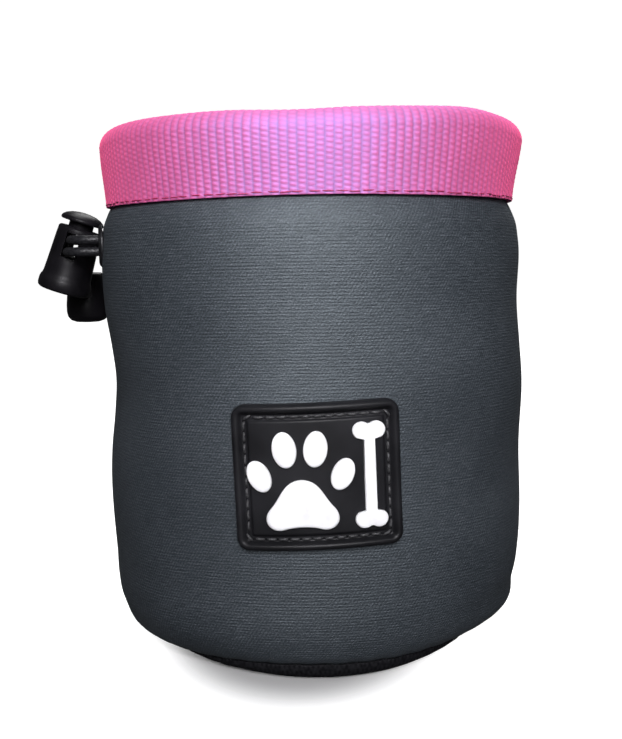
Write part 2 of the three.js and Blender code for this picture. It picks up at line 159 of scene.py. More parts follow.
def revolve(name, radius_of, rows, cols):
    """A closed ring of cloth round the axis, which may vary: radius_of(angles, row) gives (radius, z)."""
    angles = turns(cols)
    radius, z = zip(*(radius_of(angles, row) for row in range(rows)))
    radius, z = np.array([r + 0 * angles for r in radius]), np.array([h + 0 * angles for h in z])
    points = polar(angles, radius, z)
    steps = np.hypot(np.diff(radius.mean(1)), np.diff(z.mean(1)))
    along = np.concatenate([[0], np.cumsum(steps)])
    closing = np.hypot(radius[-1].mean() - radius[0].mean(), z[-1].mean() - z[0].mean())
    along = np.append(along, along[-1] + closing)
    across = np.arange(cols + 1) / cols * TAU * WALL_R
    return grid(name, points, loop=True, uv=(across, along))


def placed(points, matrix):
    return np.asarray(points) @ np.array(matrix.to_3x3()).T + np.array(matrix.translation)


def lathe(name, profile, matrix, sides=72, bevel=0.12):
    """A turned piece. The profile's (radius, height) points run up the outside. Ends on the axis close
    it, and otherwise it closes on itself."""
    angles = turns(sides)
    points, rings = [], []
    for radius, z in profile:
        count = sides if radius else 1
        rings.append([len(points) + k % count for k in range(sides)])
        points += list(polar(angles[:count], radius, z))
    pairs = list(zip(rings, rings[1:]))
    if profile[0][0]:
        pairs.append((rings[-1], rings[0]))
    faces = []
    for low, high in pairs:
        for k in range(sides):
            n = (k + 1) % sides
            faces.append(list(dict.fromkeys([low[k], low[n], high[n], high[k]])))
    piece = link_mesh(name, placed(points, matrix), faces)
    if bevel:
        soften(piece, bevel)
    return piece


def soften(piece, width, segments=3):
    """Rounds the piece's sharp edges."""
    modifier = piece.modifiers.new("soft_edges", "BEVEL")
    modifier.width = width * MM
    modifier.segments = segments
    modifier.limit_method = "ANGLE"
    modifier.angle_limit = math.radians(25)
    modifier.harden_normals = False
    return piece


def bake_modifiers(piece):
    """Makes the piece's modifiers part of its mesh."""
    graph = bpy.context.evaluated_depsgraph_get()
    mesh = bpy.data.meshes.new_from_object(piece.evaluated_get(graph))
    piece.modifiers.clear()
    piece.data = mesh
    mesh.polygons.foreach_set("use_smooth", [True] * len(mesh.polygons))
    return piece


def cut_box(piece, low, high, matrix):
    """Cuts a box, given in the piece's own upright frame, out of the piece."""
    corners = [
        (x, y, z) for x in (low[0], high[0]) for y in (low[1], high[1]) for z in (low[2], high[2])
    ]
    faces = [(0, 1, 3, 2), (4, 6, 7, 5), (0, 4, 5, 1), (2, 3, 7, 6), (0, 2, 6, 4), (1, 5, 7, 3)]
    cutter = link_mesh("cutter", placed(corners, matrix), faces, smooth=False)
    modifier = piece.modifiers.new("cut", "BOOLEAN")
    modifier.operation = "DIFFERENCE"
    modifier.solver = "EXACT"
    modifier.object = cutter
    bpy.context.view_layer.update()
    bake_modifiers(piece)
    bpy.data.objects.remove(cutter)
    return piece


def between(start, end, share):
    return start + (end - start) * share


def unit(vectors):
    return vectors / np.linalg.norm(vectors, axis=1)[:, None]


def run(line):
    """The length along the line at each of its points."""
    return np.concatenate([[0], np.cumsum(np.linalg.norm(np.diff(line, axis=0), axis=1))])


def at_lengths(line, far):
    """The line's points at the lengths along it."""
    return np.stack([np.interp(far, run(line), line[:, k]) for k in range(line.shape[1])], 1)


def catmull(points, step):
    """A smooth line through the points, with a point about every step."""
    points = np.array(points, float)
    ends = np.vstack([2 * points[0] - points[1], points, 2 * points[-1] - points[-2]])
    knots = np.concatenate([[0], np.cumsum(np.linalg.norm(np.diff(ends, axis=0), axis=1) ** 0.5)])

    def blend(t, start, end, a, b):
        return ((end - t) * a + (t - start) * b) / (end - start)

    line = []
    for k in range(1, len(ends) - 2):
        p0, p1, p2, p3 = ends[k - 1 : k + 3]
        t0, t1, t2, t3 = knots[k - 1 : k + 3]
        t = np.linspace(t1, t2, 24, endpoint=False)[:, None]
        middle = blend(t, t1, t2, p1, p2)
        before = blend(t, t0, t2, blend(t, t0, t1, p0, p1), middle)
        after = blend(t, t1, t3, middle, blend(t, t2, t3, p2, p3))
        line.append(blend(t, t1, t2, before, after))
    line = np.vstack(line + [points[-1:]])
    long = run(line)[-1]
    return at_lengths(line, np.linspace(0, long, max(2, int(long / step))))


def line_frames(line):
    """Two directions across the line at each of its points, which turn as little as they can."""
    along = unit(np.gradient(line, axis=0))
    side = np.cross(along[0], (0.1, 0.2, 1))
    sides = []
    for direction in along:
        side = side - direction * side.dot(direction)
        side /= np.linalg.norm(side)
        sides.append(side)
    sides = np.array(sides)
    return sides, np.cross(along, sides)


def braided_cord(name, line, radius, strands=8, lay=2.6, sides=24, relief=0.09):
    """A round braided cord along the line: strands wind both ways and cross over each other."""
    side, up = line_frames(line)
    far = run(line)
    angles = turns(sides)
    turn = far[:, None] / lay * TAU / 2
    one = np.abs(np.cos(strands / 4 * (angles + turn)))
    other = np.abs(np.cos(strands / 4 * (angles - turn) + math.pi / 4))
    reach = radius * (1 - relief + relief * np.maximum(one, other) ** 0.7)
    across, upward = np.cos(angles)[:, None], np.sin(angles)[:, None]
    around = side[:, None] * across + up[:, None] * upward
    points = line[:, None] + around * reach[..., None]
    across = np.arange(sides + 1) / sides * TAU * radius
    return grid(name, points, uv=(across, far), foot=True, lid=True)


def stitches(name, centres, alongs, outs, length, thread, lift):
    """One mesh of short arched threads: one stitch at each centre, lying along and arching out."""
    rings, sides = 7, 8
    t = np.linspace(-1, 1, rings)
    turn = turns(sides)
    pattern = []
    for low in range(0, (rings - 1) * sides, sides):
        high = low + sides
        for b in range(sides):
            c = (b + 1) % sides
            pattern.append((low + b, high + b, high + c, low + c))
    pattern += [range(sides), reversed(range((rings - 1) * sides, rings * sides))]
    pattern = [tuple(face) for face in pattern]
    points, faces = [], []
    for centre, along, out in zip(centres, alongs, outs):
        across = np.cross(along, out)
        spine = centre + along * (t[:, None] * length / 2) + out * (lift * (1 - t[:, None] ** 2))
        size = thread * (1 - 0.6 * t**6)
        ring = out * np.cos(turn)[:, None] + across * np.sin(turn)[:, None]
        faces += [[len(points) + corner for corner in face] for face in pattern]
        points += list((spine[:, None] + ring[None] * size[:, None, None]).reshape(-1, 3))
    return link_mesh(name, points, faces)


# ---- materials


class Finish:
    """A material with a Principled shader, and short ways to add nodes to it."""

    def __init__(self, name, roughness, **sockets):
        self.material = bpy.data.materials.new(name)
        self.material.use_nodes = True
        self.tree = self.material.node_tree
        self.shader = self.tree.nodes["Principled BSDF"]
        self.shader.inputs["Roughness"].default_value = roughness
        for socket, value in sockets.items():
            self.shader.inputs[socket.replace("_", " ")].default_value = value
        self.height = None

    def add(self, kind, inputs=None, **settings):
        node = self.tree.nodes.new("ShaderNode" + kind)
        for key, value in settings.items():
            setattr(node, key, value)
        for key, value in (inputs or {}).items():
            if isinstance(value, bpy.types.NodeSocket):
                self.tree.links.new(value, node.inputs[key])
            else:
                node.inputs[key].default_value = value
        return node

    def cloth(self, across, along):
        """The cloth's own millimetres, times a scale each way."""
        uv = self.add("UVMap", uv_map="cloth").outputs["UV"]
        return self.scaled(uv, (across, along, 1))

    def solid(self, *scale):
        """The piece's own metres, times one scale or three."""
        place = self.add("TexCoord").outputs["Object"]
        return self.scaled(place, scale if len(scale) == 3 else scale * 3)

    def scaled(self, vector, scale):
        node = self.add("VectorMath", {0: vector, 1: scale}, operation="MULTIPLY")
        return node.outputs["Vector"]

    def noise(self, vector, scale=1.0, detail=2.0, rough=0.5):
        inputs = {"Vector": vector, "Scale": scale, "Detail": detail, "Roughness": rough}
        return self.add("TexNoise", inputs).outputs["Fac"]

    def math(self, operation, a, b=0.0, c=0.0):
        node = self.add("Math", {0: a, 1: b, 2: c}, operation=operation)
        return node.outputs[0]

    def total(self, first, *others):
        """The sum of (value, weight) pairs."""
        result = self.math("MULTIPLY", *first)
        for value, weight in others:
            result = self.math("MULTIPLY_ADD", value, weight, result)
        return result

    def split(self, vector):
        node = self.add("SeparateXYZ", {0: vector})
        return node.outputs["X"], node.outputs["Y"]

    def ramp(self, value, stops):
        node = self.add("ValToRGB", {"Fac": value})
        points = node.color_ramp.elements
        while len(points) < len(stops):
            points.new(0.5)
        for point, (place, colour) in zip(points, stops):
            point.position = place
            point.color = (*colour, 1)
        return node.outputs["Color"]

    def colour(self, socket):
        self.tree.links.new(socket, self.shader.inputs["Base Color"])

    def roughness(self, value, low, high):
        inputs = {"Value": value, "To Min": low, "To Max": high}
        node = self.add("MapRange", inputs)
        self.tree.links.new(node.outputs[0], self.shader.inputs["Roughness"])

    def bump(self, height, distance, strength=1.0):
        inputs = {"Height": height, "Distance": distance * MM, "Strength": strength}
        if self.height is not None:
            inputs["Normal"] = self.height
        self.height = self.add("Bump", inputs).outputs["Normal"]
        self.tree.links.new(self.height, self.shader.inputs["Normal"])


def neoprene_finish():
    """Melange jersey over foam: fine knit rows, broken by lighter and darker threads along them."""
    f = Finish("neoprene", 0.58, Specular_IOR_Level=0.85)
    f.shader.inputs["Specular Tint"].default_value = (0.86, 0.96, 1.0, 1)
    threads = f.noise(f.cloth(0.55, 3.6), detail=3, rough=0.6)
    grain = f.noise(f.cloth(2.9, 3.2), detail=2, rough=0.7)
    patches = f.noise(f.cloth(0.035, 0.05), detail=2)
    u, v = f.split(f.cloth(1, 1))
    lean = f.math("SUBTRACT", f.math("MULTIPLY", u, 8.6), f.math("MULTIPLY", v, 5.4))
    twill = f.math("SINE", lean)
    rows = f.math("SINE", f.math("MULTIPLY", v, TAU / 0.62))
    dashes = f.noise(f.cloth(0.22, 6.4), detail=1)
    patches = f.math("SUBTRACT", patches, 0.5)
    knit = [(grain, 0.56), (threads, 0.34), (dashes, 0.22), (twill, 0.045), (rows, 0.022)]
    mixed = f.total(*knit, (patches, 0.16))
    dark, middle, light = (0.003, 0.004, 0.007), (0.020, 0.025, 0.031), (0.080, 0.090, 0.102)
    f.colour(f.ramp(mixed, [(0.40, dark), (0.56, middle), (0.75, light)]))
    f.bump(rows, 0.03, 0.4)
    f.bump(mixed, 0.32, 0.7)
    return f.material


def webbing_finish():
    """Ribbed nylon: bright filaments along the weft, painted shade in the valleys between ribs and painted
    highlights on the rib and dash crowns.
    """
    f = Finish("webbing", 0.6, Specular_IOR_Level=1.0, IOR=2.9, Sheen_Weight=0.9, Sheen_Roughness=0.5)
    f.shader.inputs["Sheen Tint"].default_value = (1.0, 0.10, 0.22, 1)
    f.shader.inputs["Specular Tint"].default_value = (0.10, 0.46, 1.0, 1)
    filaments = f.noise(f.cloth(0.9, 9.0), detail=3, rough=0.6)
    ribs = f.noise(f.cloth(0.3, 0.08), detail=2)
    blotch = f.noise(f.cloth(0.05, 0.09), detail=2)
    relief = f.add("Attribute", attribute_name="relief").outputs["Fac"]
    # Painted shade and highlight: the ribs' height darkens the colour in the valleys and lightens it on
    # the crowns, over the filaments' own tones.
    shade = f.total((ribs, 0.12), (filaments, 0.22), (blotch, 0.12), (relief, 0.62))
    deep, middle, pale = (0.45, 0.014, 0.044), (0.70, 0.030, 0.094), (0.85, 0.075, 0.19)
    f.colour(f.ramp(shade, [(0.26, deep), (0.58, middle), (0.86, pale)]))
    f.roughness(filaments, 0.62, 0.80)
    f.bump(filaments, 0.12, 0.7)
    return f.material


def solid_finish(name, rough, cloud, tones, grain, bump, gloss=None, **sockets):
    """One substance right through. cloud and grain are each a noise's scale and detail: the cloud mixes
    the gloss and the tones, which are a ramp's stops, and the grain gives the bump."""
    f = Finish(name, rough, **sockets)
    clouds = f.noise(f.solid(cloud[0]), 1.0, *cloud[1:])
    f.colour(f.ramp(clouds, tones))
    if gloss:
        f.roughness(clouds, *gloss)
    f.bump(f.noise(f.solid(grain[0]), detail=grain[1]), *bump)
    return f.material


def thread_finish(name, dark, light):
    """Twisted sewing thread."""
    twist = (2600, 1)
    return solid_finish(name, 0.55, twist, [(0.3, dark), (0.7, light)], twist, (0.06, 0.6))


def moulded_finishes():
    """Near black rubber, rubbed on its high spots, white rubber with a faint grey bloom, black plastic
    with a fine spark texture, and black coated steel, rubbed paler in places."""
    rubber = [(0.35, (0.006, 0.006, 0.007)), (0.7, (0.013, 0.013, 0.015))]
    white = [(0.3, (0.74, 0.74, 0.75)), (0.65, (0.88, 0.88, 0.88))]
    plastic = [(0.3, (0.003, 0.0028, 0.0034)), (0.7, (0.008, 0.0073, 0.0088))]
    coated = [(0.4, (0.007, 0.007, 0.008)), (0.78, (0.032, 0.032, 0.034))]
    looks = [
        ("patch_rubber", 0.45, (90, 3), rubber, (2400, 2), (0.03, 0.5), (0.36, 0.52), 0.2, 0),
        ("emblem_white", 0.5, (260, 3), white, (3000, 1), (0.02, 0.4), None, 0.4, 0),
        ("black_plastic", 0.36, (160, 3), plastic, (4200, 1), (0.012, 0.5), (0.32, 0.46), 0.12, 0),
        ("black_metal", 0.4, (420, 4, 0.65), coated, (5200, 1), (0.012, 0.5), (0.32, 0.5), 0.35, 0.4),
    ]
    return {
        look[0]: solid_finish(*look[:-2], Specular_IOR_Level=look[-2], Metallic=look[-1]) for look in looks
    }


def woven_finish(name, dark, light, pitch, rough):
    """A plain weave: threads over and under each other, each a little different."""
    f = Finish(name, rough, Specular_IOR_Level=0.1)
    u, v = f.split(f.cloth(TAU / pitch / 2, TAU / pitch / 2))
    weave = f.math("MULTIPLY", f.math("SINE", u), f.math("SINE", v))
    loose = f.noise(f.cloth(0.9, 3.1), detail=2)
    tone = f.math("MULTIPLY_ADD", weave, 0.12, loose)
    f.colour(f.ramp(tone, [(0.35, dark), (0.68, light)]))
    f.bump(weave, 0.06, 0.7)
    f.bump(loose, 0.05, 0.4)
    return f.material


def cord_finish():
    """Black polyester braid with a slight gloss on each strand."""
    f = Finish("cord_braid", 0.45, Specular_IOR_Level=0.25)
    fibre = f.noise(f.cloth(3.2, 1.1), detail=2)
    f.colour(f.ramp(fibre, [(0.3, (0.004, 0.004, 0.005)), (0.7, (0.015, 0.015, 0.017))]))
    f.bump(fibre, 0.06, 0.7)
    return f.material


def steel_finish():
    """Satin steel with fine brushing and a little tarnish."""
    f = Finish("steel", 0.3, Metallic=1.0)
    brush = f.noise(f.solid(300, 300, 6000), detail=2)
    tarnish = f.noise(f.solid(500), detail=3)
    f.colour(f.ramp(tarnish, [(0.3, (0.42, 0.41, 0.40)), (0.65, (0.62, 0.62, 0.63))]))
    f.roughness(brush, 0.24, 0.42)
    f.bump(brush, 0.01, 0.4)
    return f.material


FINISH = {
    "neoprene": neoprene_finish(),
    "webbing": webbing_finish(),
    "pink_thread": thread_finish("pink_thread", (0.20, 0.012, 0.055), (0.42, 0.035, 0.12)),
    "black_thread": thread_finish("black_thread", (0.010, 0.010, 0.011), (0.055, 0.055, 0.058)),
    "black_cloth": woven_finish("black_cloth", (0.003, 0.003, 0.004), (0.013, 0.013, 0.015), 0.5, 0.75),
    "lining": woven_finish("lining", (0.022, 0.024, 0.028), (0.060, 0.064, 0.072), 0.7, 0.6),
    "cord": cord_finish(),
    "steel": steel_finish(),
    **moulded_finishes(),
}


def settle(piece, slot, *nodes, body="pouch", finish=None):
    """The piece moves with the body, has the slot's finish or its own, and stands for the CAD nodes."""
    piece.data.materials.append(FINISH[finish or slot])
    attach(piece, body)
    if nodes:
        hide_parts(*nodes)
    return piece


# ---- cords

CORD_R = 1.0
UPPER_Z, LOWER_Z = 84.54, 82.06  # the tails' heights as they leave the wall
END_Z = 74.7  # where both tails end, inside the cord end
UPPER_ROUTE = [(x, y, UPPER_Z) for x, y in (
    (-41.86, -8.9), (-44.16, -9.39), (-46.46, -9.88), (-48.41, -9.86), (-50.23, -8.97),
    (-51.44, -7.45), (-51.9, -5.47), (-51.9, 2.01), (-51.9, 9.5),
)]
UPPER_ROUTE += [(-52.23, 11.75, 83.93), (-52.72, 13.4, 82.29), (-53, 14, 80.04), (-53, 14, END_Z)]
LOWER_ROUTE = [(x, y, LOWER_Z) for x, y in (
    (-41.86, -8.9), (-44.57, -9.47), (-47.27, -10.05), (-49.21, -10.03), (-51.03, -9.14),
    (-52.25, -7.62), (-52.7, -5.65), (-52.7, 0.33), (-52.7, 6.3),
)]
LOWER_ROUTE += [(-52.79, 8.55, 81.46), (-52.93, 10.2, 79.81), (-53, 10.8, 77.56), (-53, 10.8, END_Z)]
EYELET_ANGLE = math.radians(192)
EYELET_Z = 83.3


def add_tails():
    routes = (("upper", UPPER_ROUTE, 0.0401), ("lower", LOWER_ROUTE, 0.0353))
    for name, route, length in routes:
        line = catmull(route, 0.13)
        tail = braided_cord("drawstring_tail_" + name, line, CORD_R)
        settle(tail, "cord", "cord_tail_" + name)
        (catmull(route, 0.8) * MM).tolist()


def add_ring_cord():
    """The stretch in the collar's hem, from the eyelet round the mouth and back."""
    start_r, ring_r, turn_in = 42.4, 35.7, 4.0
    bend = 0.29 * turn_in

    def at(radius, sideways, z):
        c, s = math.cos(EYELET_ANGLE), math.sin(EYELET_ANGLE)
        return (radius * c - sideways * s, radius * s + sideways * c, z)

    high, low = UPPER_Z, LOWER_Z
    path = [at(start_r, 0, high), at(ring_r + turn_in, 0, high), at(ring_r + bend, bend, high)]
    clear = turn_in / ring_r
    for share in np.linspace(0, 1, 25):
        turn = EYELET_ANGLE + clear + share * (TAU - 2 * clear)
        path.append(polar(turn, ring_r, between(high, low, share)))
    path += [at(ring_r + bend, -bend, low), at(ring_r + turn_in, 0, low), at(start_r, 0, low)]
    ring = braided_cord("drawstring_in_hem", catmull(path, 0.3), CORD_R, sides=14)
    settle(ring, "cord", "drawstring_ring")


# ---- pouch wall

WALL_PROFILE = [
    (0, 36.2), (1.5, 38.6), (3, 40.6), (5, 42.3), (8, 43.8), (12, 44.65), (18, 45), (40, 45),
    (72, 45), (84, 44.95), (87.5, 44.6), (90, 43.7), (91.8, 42.9), (95, 42.7), (103, 42.7),
]
LEFT_SAG = [
    (0, 0.2), (8, 0), (16, -0.3), (40, 0), (48, -0.9), (55, -1.4), (62, -0.8), (70, 0.3),
    (84, 0.5), (92, 0.3), (107, 0.1),
]
RIGHT_SAG = [
    (0, -0.4), (4, -0.6), (10, -0.3), (16, 0.3), (26, 0.6), (40, 0.4), (54, 0.8), (62, 0.1),
    (70, -0.6), (82, -0.3), (92, -0.8), (107, 0.2),
]
SEAM_HEIGHT = [
    (-180, 0.9), (-65, 0.9), (-45, 1.7), (-25, 3.3), (-5, 4.0), (15, 3.8), (35, 3.3), (52, 2.6),
    (70, 1.6), (90, 0.9), (180, 0.9),
]
CORNER_TUCK = [(-180, 0), (0, 0), (22, 0.4), (42, 0.9), (62, 0.8), (85, 0.2), (120, 0), (180, 0)]
# degrees from the front and their reach, height and its reach, and how far out
FULL_CORNERS = [(-64, 30, 3.0, 2.2, 1.0), (80, 34, 5.5, 3.0, 1.75)]
BASE_OUTLINE = [(0, 37.9), (14, 37.3), (28, 35.7), (45, 34.6), (62, 34.9), (90, 36), (180, 36)]
FRONT_LEAN = 0.10  # the base's lowest front point is this far round from the front, in radians
TUCK_HIGH = 15


def sag(angle, z):
    """How far the soft wall stands out of true: its two sides differ, and it has slow dents."""
    left = np.clip(-np.cos(angle), 0, 1) ** 2 * curve_through(z, LEFT_SAG)
    right = np.clip(np.cos(angle), 0, 1) ** 2 * curve_through(z, RIGHT_SAG)
    dents = 0.16 * np.sin(3 * angle + 0.06 * z + 1.1) * np.sin(0.071 * z + 0.6)
    dents = dents + 0.10 * np.sin(5 * angle - 0.045 * z) * np.sin(0.11 * z + 2 * angle)
    low = np.clip(z / 14, 0, 1)
    return left + right + dents * low


def turn_from_front(angle):
    """Degrees round from the front, more than 0 to the right."""
    return np.degrees((angle - FRONT + math.pi) % TAU - math.pi)


def from_front(angle):
    """Degrees round from the lowest point of the front."""
    return np.abs(turn_from_front(angle - FRONT_LEAN))


def base_tuck(angle, z):
    """The base bulges at the front and tucks in at its two front corners."""
    out = curve_through(from_front(angle), BASE_OUTLINE) - WALL_PROFILE[0][1]
    return out * np.clip(1 - z / 9, 0, 1) ** 2


def corner_tuck(angle, z):
    """The wall's foot is drawn in at the front's right, and full at both sides."""
    turn = turn_from_front(angle)
    tuck = curve_through(turn, CORNER_TUCK) * np.clip(1 - z / TUCK_HIGH, 0, 1) ** 1.5
    for round_at, round_reach, up_at, up_reach, out in FULL_CORNERS:
        near = ((turn - round_at) / round_reach) ** 2 + ((z - up_at) / up_reach) ** 2
        tuck = tuck - out * np.exp(-near)
    return tuck


def wall_radius(angle, z):
    radius = curve_through(z, WALL_PROFILE) + sag(angle, z) + base_tuck(angle, z)
    return radius - corner_tuck(angle, z)


def seam_height(angle):
    """The base seam shows at the front and tucks under elsewhere."""
    return curve_through(turn_from_front(angle), SEAM_HEIGHT)


def add_wall():
    cols, up_rows, inner_rows = 480, 176, 24
    top, thick, widest_inside = 102.4, 1.1, 41.5

    def radius_of(angles, row):
        seam = seam_height(angles)
        if row < up_rows:
            share = row / (up_rows - 1)
            z = between(seam, top, share)
            pucker = 0.12 * np.sin(46 * angles) * np.exp(-(z - seam) / 1.6)
            edge = -0.5 * np.exp(-(z - seam) / 0.45)
            under_band = 0.05 * np.sin(52 * angles + 1) * np.exp(-np.abs(z - 90) / 1.4)
            return wall_radius(angles, z) + pucker + edge + under_band, z
        share = (row - up_rows) / (inner_rows - 1)
        z = between(top, seam + 0.2, share)
        return np.minimum(widest_inside, wall_radius(angles, z) - thick), z

    settle(revolve("pouch_wall", radius_of, up_rows + inner_rows, cols), "neoprene", "body_shell")


MIDDLE_R = 0.08  # the innermost ring of a round panel


def add_base():
    """The black panel: round at its edge, full and slightly puckered where it meets the wall."""
    cols, curl_rows = 320, 22
    flats = [34, 28, 20, 11, MIDDLE_R]
    thick = 2.4

    def radius_of(angles, row):
        seam = seam_height(angles) - 0.35
        flat_r = curve_through(from_front(angles), BASE_OUTLINE)
        edge = wall_radius(angles, seam) - 0.45
        if row < len(flats):
            return flats[-1 - row], 0.04 + 0.05 * np.sin(3 * angles) ** 2
        row -= len(flats)
        if row < curl_rows:
            turn = row / (curl_rows - 1) * math.pi / 2
            pucker = 0.10 * np.sin(46 * angles + 0.8) * math.sin(turn) ** 3
            radius = between(flat_r, edge, math.sin(turn)) + pucker
            return radius, seam * (1 - math.cos(turn)) ** 0.9
        row -= curl_rows
        inner = [(edge - 1.2, seam + 0.1), (flat_r - 0.5, thick), (MIDDLE_R, thick)]
        return inner[row]

    base = revolve("base_panel_cloth", radius_of, len(flats) + curl_rows + 3, cols)
    settle(base, "black_cloth", "base_panel")


# ---- webbing rim

BAND_THICK = 1.2
BAND_PROFILE = [(91.4, 44.0), (93, 44.15), (96, 44.5), (100, 45.0), (103.5, 45.25)]
RIB_COUNT = 174
RIB_RELIEF = 0.08
DASH_PITCH = 0.94
DASH_RELIEF = 0.11
TURN_Z = 103.4
INNER_LEG_R = 38.7
INNER_LEG_LOW = 98.0
RIM_LIFT = [
    (-180, 0), (-90, 0), (-54, 0.2), (-38, 0.1), (-20, 0), (-5, -0.35), (12, 0.2), (27, 0.7),
    (44, 1.3), (58, 1.0), (90, 0.4), (180, 0),
]


def rim_lift(angle, z):
    """The rim isn't quite level: its top edge rises on the right, and its lower edge wanders a little."""
    turn = turn_from_front(angle)
    share = np.clip((z - BAND_Z) / (TURN_Z - BAND_Z), 0, 1)
    low = 0.25 * np.sin(np.radians(turn * 1.6) - 0.2) * (np.abs(turn) < 112)
    low = low + 0.3 * np.exp(-(((turn + 6) / 30) ** 2))
    return curve_through(turn, RIM_LIFT) * share + low * (1 - share)


def band_outer(angle, z):
    return curve_through(z, BAND_PROFILE) + sag(angle, z) * 0.9


def add_rim():
    leg_rows, turn_rows, inner_rows, back_rows = 76, 40, 20, 20
    shown = leg_rows + turn_rows + inner_rows
    cols = RIB_COUNT * 6
    fold_r = 3.3

    def face(angles, row):
        """The webbing's outer face: radius, z, millimetres along it, and how far it faces (out, up)."""
        if row < leg_rows:
            z = between(BAND_Z, TURN_Z, row / leg_rows)
            return band_outer(angles, z), z, z - BAND_Z, (1.0, 0.0)
        outer = band_outer(angles, TURN_Z)
        middle, reach = (outer + INNER_LEG_R) / 2, (outer - INNER_LEG_R) / 2
        leg = TURN_Z - BAND_Z
        if row < leg_rows + turn_rows:
            turn = (row - leg_rows) / turn_rows * math.pi
            lift = (TOP_Z - TURN_Z - 0.15) / reach
            z = TURN_Z + reach * math.sin(turn) * lift
            radial, upward = math.cos(turn), math.sin(turn)
            return middle + reach * radial, z, leg + fold_r * turn, (radial, upward)
        share = (row - leg_rows - turn_rows) / (inner_rows - 1)
        z = between(TURN_Z, INNER_LEG_LOW, share)
        far = leg + fold_r * math.pi + (TURN_Z - z)
        return INNER_LEG_R, z, far, (-1.0, 0.0)

    def relief(angles, far):
        across = (angles / TAU * RIB_COUNT) % RIB_COUNT
        rib = np.floor(across)
        place = across - rib
        crown = 1 - (2 * place - 1) ** 2
        wander = 0.35 * np.sin(rib * 2.4) + 0.25 * np.sin(rib * 0.37)
        phase = far / DASH_PITCH + 0.5 * (rib % 2) + 0.28 * (place - 0.5) + 0.12 * wander
        dash = 0.5 + 0.5 * np.cos(TAU * phase)
        tall = 1 + 0.18 * np.sin(rib * 1.7) * np.sin(far * 0.4 + rib)
        return (RIB_RELIEF * np.sqrt(crown) + DASH_RELIEF * dash * crown) * tall

    def radius_of(angles, row):
        if row < shown:
            radius, z, far, (radial, upward) = face(angles, row)
            out = relief(angles, far) * (1 - 0.5 * abs(upward)) - RIB_RELIEF
            return radius + radial * out, z + upward * out + rim_lift(angles, z)
        share = (row - shown) / (back_rows - 1)
        place = (1 - share) * (shown - 1)
        radius, z, _, (radial, upward) = face(angles, int(place))
        return radius - radial * BAND_THICK, z - upward * BAND_THICK + rim_lift(angles, z)

    rim = revolve("rim_webbing", radius_of, shown + back_rows, cols)
    # The ribs' height is stored on the mesh as relief, and the webbing's colour uses it for painted shade
    # in the valleys and painted highlights on the crowns.
    angles = turns(cols)
    height = [relief(angles, face(angles, row)[2]) for row in range(shown)]
    height.append(np.zeros(back_rows * cols))
    height = np.concatenate(height) / (RIB_RELIEF + DASH_RELIEF)
    rim.data.attributes.new("relief", "FLOAT", "POINT").data.foreach_set("value", height)
    settle(rim, "webbing", "rim_band")


def add_rim_stitches():
    count = 112
    z = BAND_Z + 0.5
    angles = (np.arange(count) + 0.3 * rng.random(count)) / count * TAU
    radius = band_outer(angles, z) + 0.02
    wander = 0.08 * rng.standard_normal(count)
    centres = polar(angles, radius, z + wander + rim_lift(angles, z))
    alongs = np.stack([-np.sin(angles), np.cos(angles), 0.05 * rng.standard_normal(count)], 1)
    outs = polar(angles, 1.0, 0.0)
    row = stitches("rim_stitches", centres, alongs, outs, 2.1, 0.13, 0.05)
    settle(row, "webbing", finish="pink_thread")


# ---- inside


def add_lining():
    """Thin cloth glued inside the wall, and a loose floor."""
    cols, wall_rows, floor_rows = 240, 60, 20
    foot, top, floor_z, floor_r = 3.9, 102.2, 3.05, 38
    thick, behind_wall, widest = 0.35, 1.9, 40.5

    def wall_face(angles, row, inset):
        z = between(foot, top, row / (wall_rows - 1))
        wave = 0.22 * np.sin(9 * angles + 0.09 * z) * np.sin(0.13 * z + 2 * angles)
        corner = -2.2 * math.exp(-(z - foot) / 1.4)
        radius = np.minimum(widest, wall_radius(angles, z) - behind_wall)
        return radius + wave + corner - inset, z

    def floor_face(angles, row, inset):
        radius = between(MIDDLE_R, floor_r, row / (floor_rows - 1))
        wave = 0.22 * np.sin(4 * angles + radius * 0.3) * math.sin(math.pi * row / floor_rows)
        return radius, floor_z + wave + inset

    def both(face, count):
        """A face, and back along the cloth's other side."""
        return lambda angles, row: (
            face(angles, count - 1 - row, thick) if row < count else face(angles, row - count, 0.0)
        )

    wall = revolve("lining_wall_cloth", both(wall_face, wall_rows), 2 * wall_rows, cols)
    settle(wall, "lining", "lining_wall")
    floor = revolve("lining_floor_cloth", both(floor_face, floor_rows), 2 * floor_rows, cols)
    settle(floor, "lining", "lining_floor")


def add_seam_tape():
    """Binding tape, folded over the base seam's edge."""
    low, high, outer, inner, thick = 4.8, 9.2, 39.7, 38.4, 0.3
    middle, reach = (outer + inner) / 2, (outer - inner) / 2
    half = np.linspace(0, math.pi, 9)

    def fold(reach, angles):
        return [(middle + reach * math.cos(t), high + reach * math.sin(t)) for t in angles]

    over, under = fold(reach, half), fold(reach - thick, half[::-1])
    profile = [(outer - 0.1, low), *over, (inner, low), (inner + thick, low), *under]
    profile.append((outer - thick - 0.1, low))

    def radius_of(angles, row):
        radius, z = profile[row]
        radius = radius - 0.7 * corner_tuck(angles, z)
        return radius + 0.1 * np.sin(38 * angles), z + 0.1 * np.sin(17 * angles)

    settle(revolve("seam_tape_cloth", radius_of, len(profile), 360), "black_cloth", "seam_tape")


